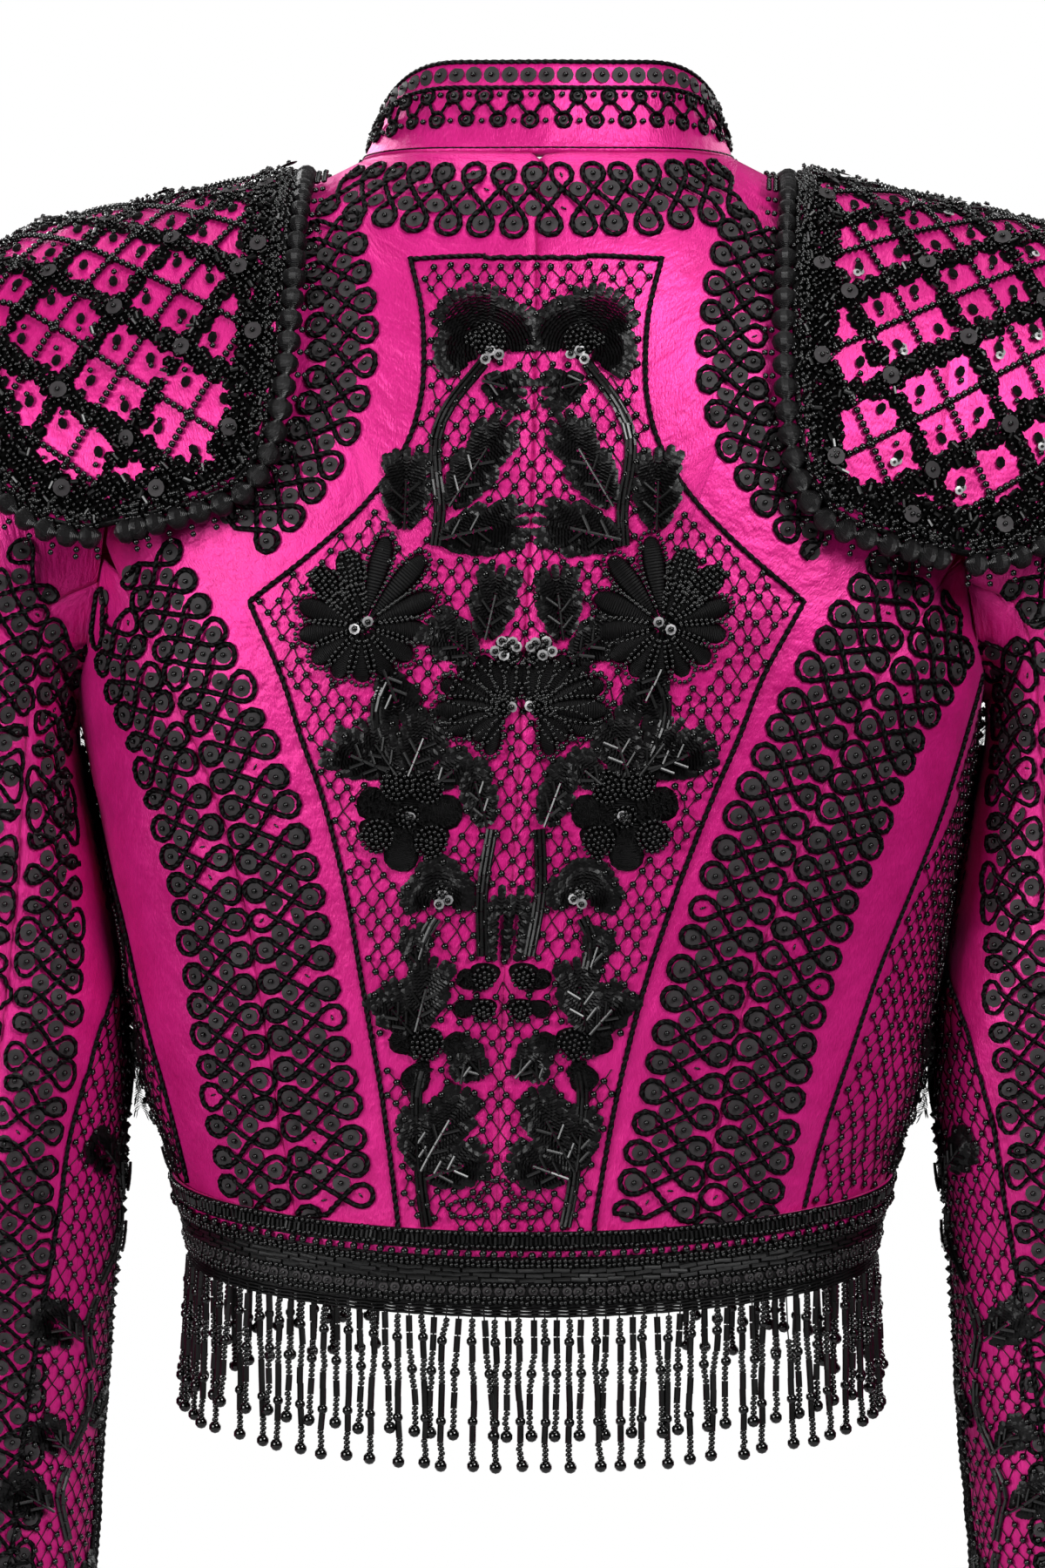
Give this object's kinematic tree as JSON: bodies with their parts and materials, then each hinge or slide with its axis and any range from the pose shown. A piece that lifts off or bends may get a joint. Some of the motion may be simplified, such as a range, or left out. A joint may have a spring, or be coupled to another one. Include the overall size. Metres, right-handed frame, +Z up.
{
  "type": "matador jacket",
  "caption": "Short open matador jacket in magenta satin with black looped cord, sequins, beaded net, domed shoulder pieces and a beaded fringe.",
  "frame": {"origin": "on the middle line between the shoulders, level with the nape of the neck, where the wearer carries the jacket", "axes": "+X towards the wearer's left, +Y towards the wearer's back, +Z up"},
  "size_m": [0.5358, 0.2379, 0.6419],
  "materials": {
    "satin": "shiny satin with black cord, sequins and beads",
    "beaded_satin": "satin nearly covered by black beads",
    "silk_thread": "wrapped silky thread",
    "glass_beads": "glossy beads"
  },
  "bodies": {
    "root": {"back_left": "satin", "back_right": "satin", "side_back_left": "satin", "side_back_right": "satin", "front_left": "satin", "front_right": "satin", "collar": "satin", "sleeve_upper_left": "satin", "sleeve_upper_right": "satin", "sleeve_under_left": "satin", "sleeve_under_right": "satin", "hombrera_left": "beaded_satin", "hombrera_right": "beaded_satin", "hombrera_rolls_left": "silk_thread", "hombrera_rolls_right": "silk_thread", "hem_band": "glass_beads", "fringe": "glass_beads"}
  },
  "joints": []
}
